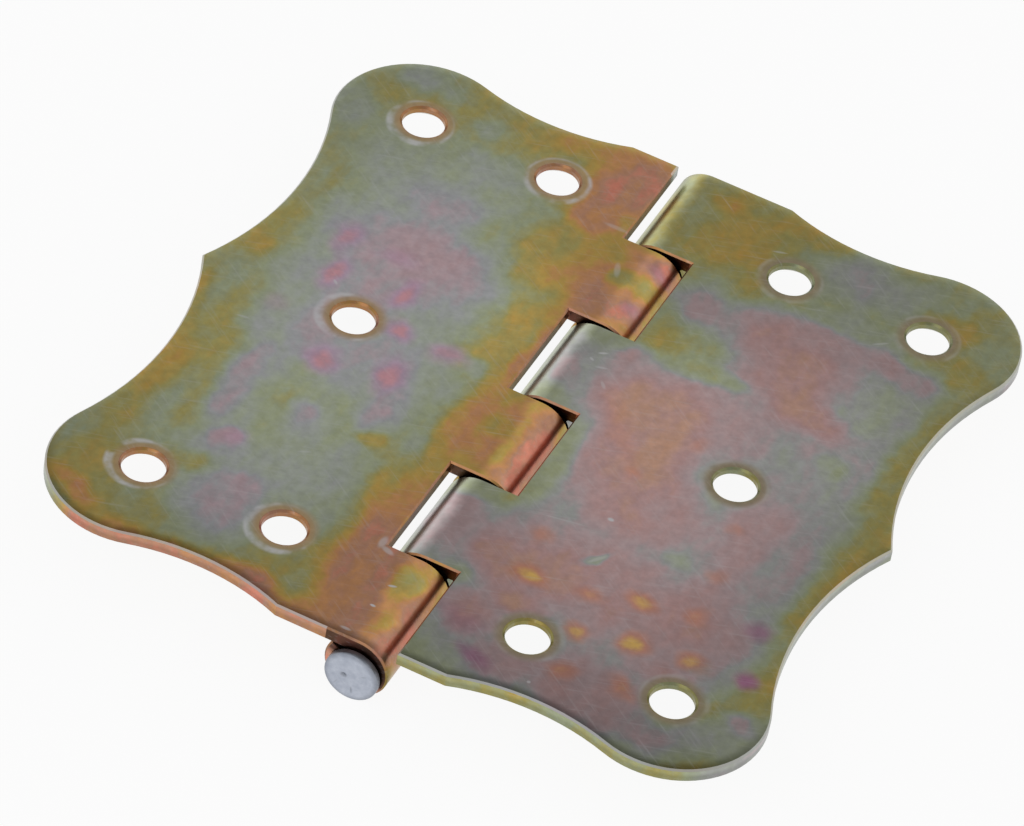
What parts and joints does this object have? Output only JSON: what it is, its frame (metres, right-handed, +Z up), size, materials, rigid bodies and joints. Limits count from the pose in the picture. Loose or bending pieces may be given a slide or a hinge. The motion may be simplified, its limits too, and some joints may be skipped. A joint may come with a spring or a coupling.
{
  "type": "decorative hinge",
  "caption": "Flat butt hinge with scalloped leaves of rolled sheet steel, round corner lobes, countersunk screw holes and a headed pin, in iridescent yellow zinc.",
  "frame": {"origin": "under the middle of the pin, level with the lowest point of the knuckles", "axes": "+X across the leaves from the left leaf to the right leaf, +Y along the pin, +Z up out of the flat back of the leaves; rest is the hinge opened flat"},
  "size_m": [0.0764, 0.0826, 0.0068],
  "materials": {
    "left_leaf": "stamped steel with iridescent yellow chromate zinc",
    "right_leaf": "stamped steel with iridescent yellow chromate zinc",
    "pin": "bright blue-grey zinc plated steel"
  },
  "bodies": {
    "fixed_leaf": {"left_leaf": "left_leaf", "pin": "pin"},
    "swinging_leaf": {"right_leaf": "right_leaf"}
  },
  "joints": [
    {"name": "leaf_swing", "type": "hinge", "parent": "fixed_leaf", "child": "swinging_leaf", "pos_m": [0, 0, 0.0034], "axis": [0, 1, 0], "range_deg": [-90, 180]}
  ]
}
